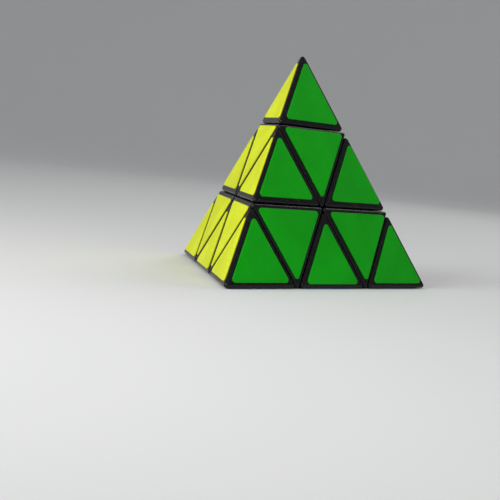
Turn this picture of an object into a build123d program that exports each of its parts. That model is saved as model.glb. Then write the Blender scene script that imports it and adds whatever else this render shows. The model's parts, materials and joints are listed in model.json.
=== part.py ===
"""Pyramid twisty puzzle: four corner layers and four tips that turn about a hidden spider core.

Millimetres, +Z up. The puzzle stands on its blue face on the plane z = 0, with the origin in the
middle of its footprint. The front vertex points to -Y, the yellow face to the left of it and the
green face to the right.
"""

import os
from itertools import combinations
from math import cos, radians, sin, sqrt

from build123d import *

os.makedirs("parts", exist_ok=True)

# Outside
EDGE_OVER_TIPS = 98.0  # finished length along one edge of the puzzle
EDGE_RADIUS = 1.0  # rounding of the outer edges of the tips, axial pieces and edge pieces
SEAM_GAP = 0.1  # between neighbouring pieces
HALF_GAP = SEAM_GAP / 2
SHARP_EDGE = EDGE_OVER_TIPS + (2 * sqrt(6) - 2) * EDGE_RADIUS  # before rounding
FACE_DISTANCE = SHARP_EDGE * sqrt(6) / 12  # from the centre to a face
LAYER_CUT = FACE_DISTANCE / 3  # from the centre to a layer's seam, along its vertex
TIP_CUT = 5 * LAYER_CUT  # from the centre to a tip's seam
CELL_INRADIUS = SHARP_EDGE * sqrt(3) / 18  # of one of the nine small triangles on a face
TIP_CELL = 4 * CELL_INRADIUS  # from a face's centre to the middle of a tip's triangle
INNER_CELL = 2 * CELL_INRADIUS  # and to the middle of an axial or edge piece's triangle
THREE_WAYS = (-90, 30, 150)  # azimuths of the front, right and left, and of a triangle's sides

# Coloured tiles, as distances from the sharp seam or edge lines to the tile's sides
TILE_THICKNESS = 0.3
TILE_CORNER = 1.1
TILE_SOFTENING = 0.12
TIP_TILE_INSETS = (2.37, 1.94, 1.94)  # the tip's own seam, then the two outer edges
AXIAL_TILE_INSETS = (0.80, 1.47, 1.47)  # the tip's seam, then the two edge pieces' seams
EDGE_TILE_INSETS = (1.52, 2.53, 2.53)  # the outer edge, then the two seams

BLANK = 200.0  # side of the block that a convex piece is cut from
FROM_BASE = (Align.CENTER, Align.CENTER, Align.MIN)

# Turning shells round the centre
CORE_BALL = 10.2
FOOT_INNER = 10.5
FOOT_OUTER = 14.0
BLOCK_INNER = 14.2
FOOT_CUT = 4.9  # from the centre to the seam between the feet, along a vertex
NECK_OVERLAP = 0.5

# Arms, screws, washers and springs, as radii and as heights along a vertex direction
ARM_RADIUS = 3.2
ARM_TOP = 18.0
ARM_BORE = 3.28
ARM_BORE_TOP = 18.4
PILOT_RADIUS = 1.55
PILOT_BOTTOM = 8.5
SCREW_CLEARANCE = 0.5  # between a screw's end and the bottom of its pilot hole
SHANK_RADIUS = 1.5
SHANK_HOLE = 1.8
SPRING_SEAT = 20.4
WIRE_RADIUS = 0.3
COIL_RADIUS = 3.3
COIL_PITCH = 1.1
COIL_CLEARANCE = 0.1  # at each end of a spring
WASHER_BOTTOM = 25.7
WASHER_TOP = 26.5
WASHER_RADIUS = 4.0
HEAD_TOP = 28.7
HEAD_RADIUS = 2.9
HEAD_ROUNDING = 0.6
RECESS_WIDTH = 0.8
RECESS_LENGTH = 3.4
RECESS_DEPTH = 1.3
POCKET_RADIUS = 5.2
POCKET_TOP = 31.6
SOCKET_RADIUS = 4.2

# Tip cap and its snap plug
CAP_WALL = 2.6
PLUG_INRADIUS = 7.5
PLUG_THICKNESS = 1.5
PLUG_CORNER = 1.5
PLUG_GAP = 0.1
STEM_RADIUS = 4.12
STEM_BORE = 3.0
STEM_BOTTOM = 29.3
BEAD_RADIUS = 4.5
BEAD_BOTTOM = 30.3
BEAD_TOP = 31.4
BEAD_ROUNDING = 0.3
SLOT_WIDTH = 1.0
SLOT_LENGTH = 4 * STEM_RADIUS  # right across the stem
SLOT_TOP = 33.4

TILT = sqrt(8) / 3  # sine of the angle between two vertex directions


def vertex_direction(azimuth):
    """A lower vertex's direction from the centre, in the frame whose top vertex is +Z."""
    return Vector(TILT * cos(radians(azimuth)), TILT * sin(radians(azimuth)), -1 / 3)


VERTICES = {
    "top": Vector(0, 0, 1),
    "front": vertex_direction(THREE_WAYS[0]),
    "right": vertex_direction(THREE_WAYS[1]),
    "left": vertex_direction(THREE_WAYS[2]),
}
FACE_OPPOSITE = {"green": "left", "yellow": "right", "red": "front", "blue": "top"}
FOOTPRINT_SHIFT = SHARP_EDGE / (4 * sqrt(3)) - EDGE_RADIUS / sqrt(2)
CENTRE = Vector(0, FOOTPRINT_SHIFT, TILE_THICKNESS + FACE_DISTANCE)

UP = VERTICES["top"]
AROUND = [VERTICES["front"], VERTICES["right"], VERTICES["left"]]
ALONG = [Vector(-sqrt(2 / 3), 0, sqrt(1 / 3)), Vector(sqrt(2 / 3), 0, sqrt(1 / 3))]
ASIDE = [Vector(0, -sqrt(2 / 3), -sqrt(1 / 3)), Vector(0, sqrt(2 / 3), -sqrt(1 / 3))]


def vertex_place(vertex):
    """Where a piece modelled about +Z goes for one vertex."""
    axis = VERTICES[vertex]
    other = next(d for name, d in VERTICES.items() if name != vertex)
    across = (axis * axis.dot(other) - other).normalized()
    return Plane(origin=CENTRE, x_dir=across.cross(axis), z_dir=axis).location


def edge_place(first, second):
    """Where a piece modelled about the middle of an edge goes for one edge."""
    one = VERTICES[first]
    two = VERTICES[second]
    return Plane(origin=CENTRE, x_dir=(two - one).normalized(), z_dir=(one + two).normalized()).location


def save(solid, name):
    """Name one node and write it."""
    with BuildPart() as node:
        add(solid)
    node.part.label = name
    export_step(node.part, f"parts/{name}.step")


def rounded_block(sides):
    """A convex block bounded by (normal, distance) planes, with every edge rounded."""
    with BuildPart() as block:
        Box(BLANK, BLANK, BLANK)
        for normal, distance in sides:
            side = Plane(origin=normal * (distance - EDGE_RADIUS), z_dir=normal)
            split(bisect_by=side, keep=Keep.BOTTOM)
        offset(amount=EDGE_RADIUS, kind=Kind.ARC)
    return block.part


def post(radius, bottom, top, mode=Mode.ADD):
    """A round post along +Z between two heights."""
    with Locations((0, 0, bottom)):
        Cylinder(radius, top - bottom, align=FROM_BASE, mode=mode)


def shell(inner, outer, sides):
    """The part of a spherical shell bounded by (normal, distance) planes."""
    with BuildPart() as part:
        Sphere(outer)
        Sphere(inner, mode=Mode.SUBTRACT)
        for normal, distance in sides:
            split(bisect_by=Plane(origin=normal * distance, z_dir=normal), keep=Keep.BOTTOM)
    return part.part


def build_core():
    """Ball with four arms and a pilot hole down each arm."""
    with BuildPart() as core:
        Sphere(CORE_BALL)
        for vertex in VERTICES.values():
            with Locations(Plane(origin=(0, 0, 0), z_dir=vertex)):
                Cylinder(ARM_RADIUS, ARM_TOP, align=FROM_BASE)
        for vertex in VERTICES.values():
            with Locations(Plane(origin=vertex * PILOT_BOTTOM, z_dir=vertex)):
                Cylinder(PILOT_RADIUS, ARM_TOP, align=FROM_BASE, mode=Mode.SUBTRACT)
    return core.part


def build_screw():
    """Cross-recess screw that holds an axial piece to its arm."""
    with BuildPart() as screw:
        post(SHANK_RADIUS, PILOT_BOTTOM + SCREW_CLEARANCE, WASHER_TOP)
        post(HEAD_RADIUS, WASHER_TOP, HEAD_TOP)
        fillet(screw.edges().group_by(Axis.Z)[-1], HEAD_ROUNDING)
        with Locations((0, 0, HEAD_TOP)):
            Box(RECESS_WIDTH, RECESS_LENGTH, 2 * RECESS_DEPTH, mode=Mode.SUBTRACT)
            Box(RECESS_LENGTH, RECESS_WIDTH, 2 * RECESS_DEPTH, mode=Mode.SUBTRACT)
    return screw.part


def build_washer():
    """Flat washer between the screw head and the spring."""
    with BuildPart() as washer:
        post(WASHER_RADIUS, WASHER_BOTTOM, WASHER_TOP)
        post(SHANK_HOLE, WASHER_BOTTOM, WASHER_TOP, mode=Mode.SUBTRACT)
    return washer.part


def build_spring():
    """Compression spring between the washer and the axial piece."""
    start = SPRING_SEAT + COIL_CLEARANCE + WIRE_RADIUS
    length = WASHER_BOTTOM - COIL_CLEARANCE - WIRE_RADIUS - start
    with BuildPart() as spring:
        with BuildLine() as coil:
            Helix(pitch=COIL_PITCH, height=length, radius=COIL_RADIUS, center=(0, 0, start))
        with BuildSketch(Plane(origin=coil.line @ 0, z_dir=coil.line % 0)):
            Circle(WIRE_RADIUS)
        sweep(is_frenet=True)
    return spring.part


def build_axial():
    """Rounded octahedron with a hub inside, a bore for the arm and a socket for the tip."""
    faces = [(-d, FACE_DISTANCE) for d in AROUND]
    base = [(-UP, -LAYER_CUT - HALF_GAP)]
    seams = [(d, LAYER_CUT - HALF_GAP) for d in AROUND] + [(UP, TIP_CUT - HALF_GAP)]
    hub_sides = [(d, FOOT_CUT - HALF_GAP) for d in AROUND]
    block = rounded_block(faces + seams + base)
    hub = shell(FOOT_INNER, FOOT_OUTER, hub_sides + [(-UP, -FOOT_CUT - HALF_GAP)])
    neck = shell(FOOT_OUTER - NECK_OVERLAP, BLOCK_INNER + NECK_OVERLAP, hub_sides + base)
    with BuildPart() as axial:
        add(block)
        Sphere(BLOCK_INNER, mode=Mode.SUBTRACT)
        add(hub)
        add(neck)
        post(ARM_BORE, 0, ARM_BORE_TOP, mode=Mode.SUBTRACT)
        post(SHANK_HOLE, 0, SPRING_SEAT, mode=Mode.SUBTRACT)
        post(POCKET_RADIUS, SPRING_SEAT, POCKET_TOP, mode=Mode.SUBTRACT)
        post(SOCKET_RADIUS, POCKET_TOP, TIP_CUT, mode=Mode.SUBTRACT)
    return axial.part


def build_edge():
    """Rounded tetrahedron with a neck and a wide foot that two axial pieces hold in."""
    faces = [(-d, FACE_DISTANCE) for d in ASIDE]
    seams = [(-d, -LAYER_CUT - HALF_GAP) for d in ALONG]
    block = rounded_block(faces + seams)
    neck = shell(FOOT_OUTER - NECK_OVERLAP, BLOCK_INNER + NECK_OVERLAP, seams)
    foot = shell(FOOT_INNER, FOOT_OUTER, [(-d, -FOOT_CUT - HALF_GAP) for d in ALONG])
    with BuildPart() as edge:
        add(block)
        Sphere(BLOCK_INNER, mode=Mode.SUBTRACT)
        add(neck)
        add(foot)
    return edge.part


def build_cap():
    """Hollow tip, open at the seam and stepped for its plug."""
    seam = TIP_CUT + HALF_GAP
    sides = [(-d, FACE_DISTANCE) for d in AROUND] + [(-UP, -seam)]
    with BuildPart() as hollow:
        Box(BLANK, BLANK, BLANK)
        for direction in AROUND:
            side = Plane(origin=-direction * (FACE_DISTANCE - CAP_WALL), z_dir=-direction)
            split(bisect_by=side, keep=Keep.BOTTOM)
        split(bisect_by=Plane.XY.offset(seam), keep=Keep.TOP)
    block = rounded_block(sides)
    with BuildPart() as cap:
        add(block)
        add(hollow.part, mode=Mode.SUBTRACT)
        with BuildSketch(Plane.XY.offset(seam)) as step:
            RegularPolygon(2 * (PLUG_INRADIUS + PLUG_GAP), 3, rotation=30)
            fillet(step.vertices(), PLUG_CORNER)
        extrude(amount=PLUG_THICKNESS, mode=Mode.SUBTRACT)
    return cap.part


def build_plug():
    """Plate that closes a tip, with a slotted stem that snaps into the axial piece."""
    seam = TIP_CUT + HALF_GAP
    with BuildPart() as plug:
        with BuildSketch(Plane.XY.offset(seam)) as plate:
            RegularPolygon(2 * PLUG_INRADIUS, 3, rotation=30)
            fillet(plate.vertices(), PLUG_CORNER)
        extrude(amount=PLUG_THICKNESS)
        post(STEM_RADIUS, STEM_BOTTOM, seam)
        post(BEAD_RADIUS, BEAD_BOTTOM, BEAD_TOP)
        rims = plug.edges().filter_by(GeomType.CIRCLE)
        fillet(rims.filter_by(lambda rim: rim.radius == BEAD_RADIUS), BEAD_ROUNDING)
        post(STEM_BORE, STEM_BOTTOM, seam, mode=Mode.SUBTRACT)
        for turn in (0, 90):
            with Locations(Location((0, 0, STEM_BOTTOM), (0, 0, turn))):
                size = (SLOT_LENGTH, SLOT_WIDTH, SLOT_TOP - STEM_BOTTOM)
                Box(*size, align=FROM_BASE, mode=Mode.SUBTRACT)
    return plug.part


def build_tile(insets):
    """Triangular tile in a small triangle's own frame, whose first side faces -Y."""
    lines = []
    for angle, inset in zip(THREE_WAYS, insets):
        lines.append((cos(radians(angle)), sin(radians(angle)), CELL_INRADIUS - inset))
    corners = []
    for first, second in zip(lines, lines[1:] + lines[:1]):
        cross = first[0] * second[1] - first[1] * second[0]
        x = (first[2] * second[1] - second[2] * first[1]) / cross
        y = (first[0] * second[2] - second[0] * first[2]) / cross
        corners.append((x, y))
    with BuildPart() as tile:
        with BuildSketch() as outline:
            Polygon(*corners, align=None)
            fillet(outline.vertices(), TILE_CORNER)
        extrude(amount=TILE_THICKNESS)
        fillet(tile.edges().group_by(Axis.Z)[-1], TILE_SOFTENING)
    return tile.part


def tile_place(face, toward, distance, outward):
    """Where a tile goes on a face: a distance from the face's centre along one direction."""
    normal = -VERTICES[FACE_OPPOSITE[face]]
    first_side = toward if outward else -toward
    origin = CENTRE + normal * FACE_DISTANCE + toward * distance
    return Plane(origin=origin, x_dir=(-first_side).cross(normal), z_dir=normal).location


def on_face(face, direction):
    """The direction along a face that a vertex or an edge's middle lies in."""
    normal = VERTICES[FACE_OPPOSITE[face]]
    return (direction - normal * direction.dot(normal)).normalized()


def save_tiles():
    """Three tiles on every tip and every axial piece, and two on every edge piece."""
    tip_tile = build_tile(TIP_TILE_INSETS)
    axial_tile = build_tile(AXIAL_TILE_INSETS)
    edge_tile = build_tile(EDGE_TILE_INSETS)
    for face, opposite in FACE_OPPOSITE.items():
        corners = [name for name in VERTICES if name != opposite]
        for name in corners:
            toward = on_face(face, VERTICES[name])
            place = tile_place(face, toward, TIP_CELL, outward=False)
            save(tip_tile.moved(place), f"tile_{face}_tip_{name}")
            place = tile_place(face, toward, INNER_CELL, outward=True)
            save(axial_tile.moved(place), f"tile_{face}_axial_{name}")
        for first, second in combinations(corners, 2):
            toward = on_face(face, VERTICES[first] + VERTICES[second])
            place = tile_place(face, toward, INNER_CELL, outward=True)
            save(edge_tile.moved(place), f"tile_{face}_edge_{first}_{second}")


def save_hardware():
    """One node each for the four screws, the four washers and the four springs."""
    sets = {"screws": build_screw(), "washers": build_washer(), "springs": build_spring()}
    for name, solid in sets.items():
        with BuildPart() as group:
            for vertex in VERTICES:
                add(solid.moved(vertex_place(vertex)))
        save(group.part, name)


def save_pieces():
    """The core and the pieces that turn round it."""
    save(build_core().moved(Location(CENTRE)), "core")
    axial = build_axial()
    cap = build_cap()
    plug = build_plug()
    for vertex in VERTICES:
        place = vertex_place(vertex)
        save(axial.moved(place), f"axial_{vertex}")
        save(cap.moved(place), f"tip_{vertex}")
        save(plug.moved(place), f"tip_plug_{vertex}")
    edge = build_edge()
    for first, second in combinations(VERTICES, 2):
        save(edge.moved(edge_place(first, second)), f"edge_{first}_{second}")


save_pieces()
save_hardware()
save_tiles()
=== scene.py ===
"""Looks of the pyramid twisty puzzle: moulded black pieces, coloured tiles and the steel inside."""

import json
from math import cos, pi, radians, sin

import bmesh
import bpy
from mathutils import Matrix, Vector

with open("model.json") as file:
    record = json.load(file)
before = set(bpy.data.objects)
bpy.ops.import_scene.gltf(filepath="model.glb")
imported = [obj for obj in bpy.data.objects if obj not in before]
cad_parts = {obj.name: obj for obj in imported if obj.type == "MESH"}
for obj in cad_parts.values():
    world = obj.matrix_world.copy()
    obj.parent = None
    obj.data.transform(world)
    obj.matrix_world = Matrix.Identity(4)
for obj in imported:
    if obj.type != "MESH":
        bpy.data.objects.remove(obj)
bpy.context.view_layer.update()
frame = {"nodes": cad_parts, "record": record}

# Camera, in metres and degrees, with its lens and sensor in millimetres. Azimuth turns from the
# front (-Y) towards +X.
CAMERA_AIM = Vector((-0.0105, 0.0094, 0.0086))
CAMERA_AZIMUTH = 18.51
CAMERA_ELEVATION = 5.35
CAMERA_ROLL = -6.31
CAMERA_DISTANCE = 0.4298
CAMERA_LENS = 84.2
SENSOR_WIDTH = 36.0
CLIP_START = 0.01

# Linear colours
BLACK = (0.0032, 0.0032, 0.0038)
BLACK_WORN = (0.012, 0.012, 0.012)
DUST = (0.16, 0.155, 0.145)
TILE_COLOURS = {
    "tile_yellow": (0.83, 0.93, 0.0),
    "tile_green": (0.0, 0.43, 0.002),
    "tile_red": (0.62, 0.008, 0.012),
    "tile_blue": (0.003, 0.060, 0.52),
}
STEEL = (0.56, 0.57, 0.58)
STUDIO = (0.82, 0.82, 0.81)
WORLD = (0.95, 0.97, 1.0)
WORLD_STRENGTH = 0.36

# Shares of a colour that mottle, scratches and tarnish leave of it
MOTTLED_SHARE = 0.84
SCRATCHED_SHARE = 0.80
SCRATCH_WHITE = 0.05  # added to a scratched colour
SCRATCH_COVER = 0.6  # how far a scratch hides the colour under it
TARNISHED_SHARE = 0.86
STUDIO_SHARE = 0.98

# Noise: features per metre, and detail where it matters
GRAIN_NOISE = (2600.0, 3.0)
SHEEN_NOISE = (160.0, 3.0)
RUB_NOISE = (420.0, 6.0)
BLACK_DUST_NOISE = (1900.0, 1.0)
MOTTLE_NOISE = (70.0, 6.0)
SATIN_NOISE = (240.0, 4.0)
PEEL_NOISE = (900.0, 2.0)
TILE_DUST_NOISE = (1500.0, 1.0)
SCRATCH_NOISE = (34.0, 2.0)
DRAWN_NOISE = (900.0, 3.0)
TARNISH_NOISE = (200.0, 2.0)
STUDIO_NOISE = (3.0, 2.0)

# Stretch of the noise that draws lines, and its turn in radians
SCRATCH_LINES = (
    ((1.0, 60.0, 60.0), (0.3, 0.5, 0.9)),
    ((60.0, 1.0, 60.0), (0.8, 0.2, 0.4)),
)
DRAWN_STRETCH = (1.0, 1.0, 0.08)

# Spans of the noise in which a mark goes from none to full
FULL_SPAN = (0.0, 1.0)
MIDDLE_SPAN = (0.3, 0.7)
MOTTLE_SPAN = (0.35, 0.65)
RUB_SPAN = (0.56, 0.74)
BLACK_DUST_SPAN = (0.74, 0.79)
TILE_DUST_SPAN = (0.79, 0.84)
SCRATCH_SPANS = ((0.67, 0.73), (0.68, 0.74))

# Roughness, from the smoothest patches to the roughest
BLACK_ROUGHNESS = (0.22, 0.30)
RUBBED_ROUGHNESS = (0.0, 0.36)
TILE_ROUGHNESS = (0.34, 0.42)
SCRATCHED_ROUGHNESS = (0.0, 0.55)
STEEL_ROUGHNESS = (0.24, 0.40)
STUDIO_ROUGHNESS = 0.8

# Bumps: strength, and height in metres
SHEEN_BUMP = (0.12, 0.0004)
GRAIN_BUMP = (0.22, 0.00004)
PEEL_BUMP = (0.14, 0.00010)
SCRATCH_BUMP = (0.15, 0.00002)
DRAWN_BUMP = (0.08, 0.00005)

# Specular IOR levels
PLASTIC_LEVEL = 0.25
TILE_LEVEL = 0.20
STUDIO_LEVEL = 0.2

# Sockets of the Mix node in its colour mode
MIX_FACTOR = 0
MIX_FIRST = 6
MIX_SECOND = 7
MIX_RESULT = 2

# Studio, in metres: a flat floor that curves up into a round wall
FLOOR_RADIUS = 0.9
COVE_RADIUS = 1.2
COVE_STEPS = 16
COVE_SIDES = 96
MERGE_DISTANCE = 1e-5

# Square soft boxes: place and side in metres, power in watts. All face one point.
LIGHTS = {
    "key": ((-0.24, -0.40, 0.24), 0.26, 0.70),
    "fill": ((0.75, -0.60, 0.60), 0.60, 0.25),
    "front": ((0.09, -0.33, 0.24), 0.14, 0.09),
    "rim": ((0.25, 0.80, 0.70), 0.50, 1.2),
    "sparkle": ((-0.30, -0.90, 0.50), 0.05, 0.2),
}
LIGHT_AIM = Vector((0.0, 0.0, 0.04))
LIGHT_SPREAD = 120.0  # degrees


class Nodes:
    """A material's node tree, with short ways to add and join nodes."""

    def __init__(self, name):
        self.material = bpy.data.materials.new(name)
        self.material.use_nodes = True
        self.tree = self.material.node_tree
        self.shader = self.tree.nodes["Principled BSDF"]
        self.position = self.add("ShaderNodeTexCoord").outputs["Object"]

    def add(self, kind, **values):
        """A new node with its input sockets set."""
        node = self.tree.nodes.new(kind)
        for socket, value in values.items():
            node.inputs[socket.replace("_", " ")].default_value = value
        return node

    def link(self, source, target):
        self.tree.links.new(source, target)

    def noise(self, kind, stretch=(1.0, 1.0, 1.0), turn=(0.0, 0.0, 0.0)):
        """Noise in the piece's own space, from 0 to 1, of a given scale and detail."""
        scale, detail = kind
        mapping = self.add("ShaderNodeMapping", Scale=stretch, Rotation=turn)
        self.link(self.position, mapping.inputs["Vector"])
        texture = self.add("ShaderNodeTexNoise", Scale=scale, Detail=detail)
        self.link(mapping.outputs["Vector"], texture.inputs["Vector"])
        return texture.outputs["Fac"]

    def ramp(self, source, span, target=FULL_SPAN):
        """A value mapped from one span to another, and held at its ends."""
        node = self.add("ShaderNodeMapRange")
        node.inputs["From Min"].default_value, node.inputs["From Max"].default_value = span
        node.inputs["To Min"].default_value, node.inputs["To Max"].default_value = target
        self.link(source, node.inputs["Value"])
        return node.outputs["Result"]

    def mix(self, factor, first, second):
        """A colour between two others, each given as three numbers or as a node's output."""
        node = self.tree.nodes.new("ShaderNodeMix")
        node.data_type = "RGBA"
        self.link(factor, node.inputs[MIX_FACTOR])
        for socket, colour in ((node.inputs[MIX_FIRST], first), (node.inputs[MIX_SECOND], second)):
            if isinstance(colour, tuple):
                socket.default_value = (*colour, 1.0)
            else:
                self.link(colour, socket)
        return node.outputs[MIX_RESULT]

    def highest(self, first, second):
        """The larger of two values."""
        node = self.tree.nodes.new("ShaderNodeMath")
        node.operation = "MAXIMUM"
        self.link(first, node.inputs[0])
        self.link(second, node.inputs[1])
        return node.outputs[0]

    def bump(self, height, size, under=None):
        """A bump from a height, over another bump if there is one."""
        strength, distance = size
        node = self.add("ShaderNodeBump", Strength=strength, Distance=distance)
        self.link(height, node.inputs["Height"])
        if under:
            self.link(under, node.inputs["Normal"])
        return node.outputs["Normal"]


def scaled(colour, share, more=0.0):
    """A colour times a share, with a little white added."""
    return tuple(share * c + more for c in colour)


def black_plastic():
    """Moulded black plastic: fine spark grain, patchy sheen, a few rubs and specks of dust."""
    m = Nodes("black_plastic")
    grain = m.noise(GRAIN_NOISE)
    sheen = m.noise(SHEEN_NOISE)
    rubbed = m.ramp(m.noise(RUB_NOISE), RUB_SPAN)
    dust = m.ramp(m.noise(BLACK_DUST_NOISE), BLACK_DUST_SPAN)
    m.link(m.mix(dust, m.mix(rubbed, BLACK, BLACK_WORN), DUST), m.shader.inputs["Base Color"])
    smooth = m.ramp(sheen, MIDDLE_SPAN, BLACK_ROUGHNESS)
    rough = m.ramp(rubbed, FULL_SPAN, RUBBED_ROUGHNESS)
    m.link(m.highest(smooth, rough), m.shader.inputs["Roughness"])
    wave = m.bump(sheen, SHEEN_BUMP)
    m.link(m.bump(grain, GRAIN_BUMP, wave), m.shader.inputs["Normal"])
    m.shader.inputs["Specular IOR Level"].default_value = PLASTIC_LEVEL
    return m.material


def tile(name, colour):
    """Satin coloured tile: mottle, orange peel, hair-fine handling scratches and a little dust."""
    m = Nodes(name)
    darker = scaled(colour, MOTTLED_SHARE)
    paler = scaled(colour, SCRATCHED_SHARE, SCRATCH_WHITE)
    lines = [m.noise(SCRATCH_NOISE, stretch, turn) for stretch, turn in SCRATCH_LINES]
    scratches = m.highest(*(m.ramp(line, span) for line, span in zip(lines, SCRATCH_SPANS)))
    mottled = m.mix(m.ramp(m.noise(MOTTLE_NOISE), MOTTLE_SPAN), darker, colour)
    cover = m.ramp(scratches, FULL_SPAN, (0.0, SCRATCH_COVER))
    scratched = m.mix(cover, mottled, paler)
    dust = m.ramp(m.noise(TILE_DUST_NOISE), TILE_DUST_SPAN)
    m.link(m.mix(dust, scratched, DUST), m.shader.inputs["Base Color"])
    satin = m.ramp(m.noise(SATIN_NOISE), MIDDLE_SPAN, TILE_ROUGHNESS)
    rough = m.ramp(scratches, FULL_SPAN, SCRATCHED_ROUGHNESS)
    m.link(m.highest(satin, rough), m.shader.inputs["Roughness"])
    peel = m.bump(m.noise(PEEL_NOISE), PEEL_BUMP)
    m.link(m.bump(scratches, SCRATCH_BUMP, peel), m.shader.inputs["Normal"])
    m.shader.inputs["Specular IOR Level"].default_value = TILE_LEVEL
    return m.material


def steel():
    """Zinc-plated steel with a drawn grain."""
    m = Nodes("steel")
    grain = m.noise(DRAWN_NOISE, DRAWN_STRETCH)
    tarnish = m.ramp(m.noise(TARNISH_NOISE), MIDDLE_SPAN)
    tint = m.mix(tarnish, scaled(STEEL, TARNISHED_SHARE), STEEL)
    m.link(tint, m.shader.inputs["Base Color"])
    m.link(m.ramp(grain, MIDDLE_SPAN, STEEL_ROUGHNESS), m.shader.inputs["Roughness"])
    m.link(m.bump(grain, DRAWN_BUMP), m.shader.inputs["Normal"])
    m.shader.inputs["Metallic"].default_value = 1.0
    return m.material


def dress_nodes():
    """Every CAD node gets the material of its record slot."""
    materials = {"black_plastic": black_plastic(), "steel": steel()}
    for name, colour in TILE_COLOURS.items():
        materials[name] = tile(name, colour)
    for part in frame["record"]["subparts"]:
        node = frame["nodes"][part["node"]]
        node.data.materials.clear()
        node.data.materials.append(materials[part["material_slot"]])


def add_studio():
    """A plain pale floor that curves up into a wall all round, so that no horizon shows."""
    outline = [(0.0, 0.0), (FLOOR_RADIUS / 2, 0.0)]
    for step in range(COVE_STEPS + 1):
        turn = pi / 2 * step / COVE_STEPS
        outline.append((FLOOR_RADIUS + COVE_RADIUS * sin(turn), COVE_RADIUS * (1 - cos(turn))))
    shape = bmesh.new()
    path = [shape.verts.new((radius, 0.0, height)) for radius, height in outline]
    edges = [shape.edges.new(pair) for pair in zip(path, path[1:])]
    bmesh.ops.spin(
        shape, geom=path + edges, cent=(0, 0, 0), axis=(0, 0, 1), angle=2 * pi, steps=COVE_SIDES
    )
    bmesh.ops.remove_doubles(shape, verts=shape.verts, dist=MERGE_DISTANCE)
    bmesh.ops.recalc_face_normals(shape, faces=shape.faces)
    mesh = bpy.data.meshes.new("studio")
    shape.to_mesh(mesh)
    shape.free()
    mesh.shade_smooth()
    studio = bpy.data.objects.new("studio", mesh)
    bpy.context.scene.collection.objects.link(studio)
    m = Nodes("studio")
    tint = m.mix(m.noise(STUDIO_NOISE), scaled(STUDIO, STUDIO_SHARE), STUDIO)
    m.link(tint, m.shader.inputs["Base Color"])
    m.shader.inputs["Roughness"].default_value = STUDIO_ROUGHNESS
    m.shader.inputs["Specular IOR Level"].default_value = STUDIO_LEVEL
    studio.data.materials.append(m.material)


def add_lights():
    """Soft studio light: a key on the left, a fill on the right, and a front light, a rim from
    behind and a small sparkle.
    """
    for name, (place, size, power) in LIGHTS.items():
        light = bpy.data.lights.new(name, "AREA")
        light.size = size
        light.energy = power
        light.spread = radians(LIGHT_SPREAD)
        lamp = bpy.data.objects.new(name, light)
        lamp.location = place
        lamp.rotation_euler = (LIGHT_AIM - Vector(place)).to_track_quat("-Z", "Y").to_euler()
        lamp.visible_camera = False
        bpy.context.scene.collection.objects.link(lamp)


def add_world():
    """Even pale light from the open sky over the bowl."""
    world = bpy.data.worlds.new("world")
    world.use_nodes = True
    background = world.node_tree.nodes["Background"]
    background.inputs["Color"].default_value = (*WORLD, 1.0)
    background.inputs["Strength"].default_value = WORLD_STRENGTH
    bpy.context.scene.world = world


def add_camera():
    """The camera, placed by its aim, azimuth, elevation, roll and distance."""
    azimuth, elevation, roll = (radians(v) for v in (CAMERA_AZIMUTH, CAMERA_ELEVATION, CAMERA_ROLL))
    back = Vector((sin(azimuth) * cos(elevation), -cos(azimuth) * cos(elevation), sin(elevation)))
    level_right = Vector((cos(azimuth), sin(azimuth), 0.0))
    level_up = back.cross(level_right)
    right = cos(roll) * level_right - sin(roll) * level_up
    up = back.cross(right)
    data = bpy.data.cameras.new("camera")
    data.lens = CAMERA_LENS
    data.sensor_width = SENSOR_WIDTH
    data.clip_start = CLIP_START
    camera = bpy.data.objects.new("camera", data)
    camera.matrix_world = Matrix((
        (right.x, up.x, back.x, 0.0),
        (right.y, up.y, back.y, 0.0),
        (right.z, up.z, back.z, 0.0),
        (0.0, 0.0, 0.0, 1.0),
    ))
    camera.location = CAMERA_AIM + back * CAMERA_DISTANCE
    bpy.context.scene.collection.objects.link(camera)
    bpy.context.scene.camera = camera
    bpy.context.scene.view_settings.view_transform = "Standard"


dress_nodes()
add_studio()
add_lights()
add_world()
add_camera()
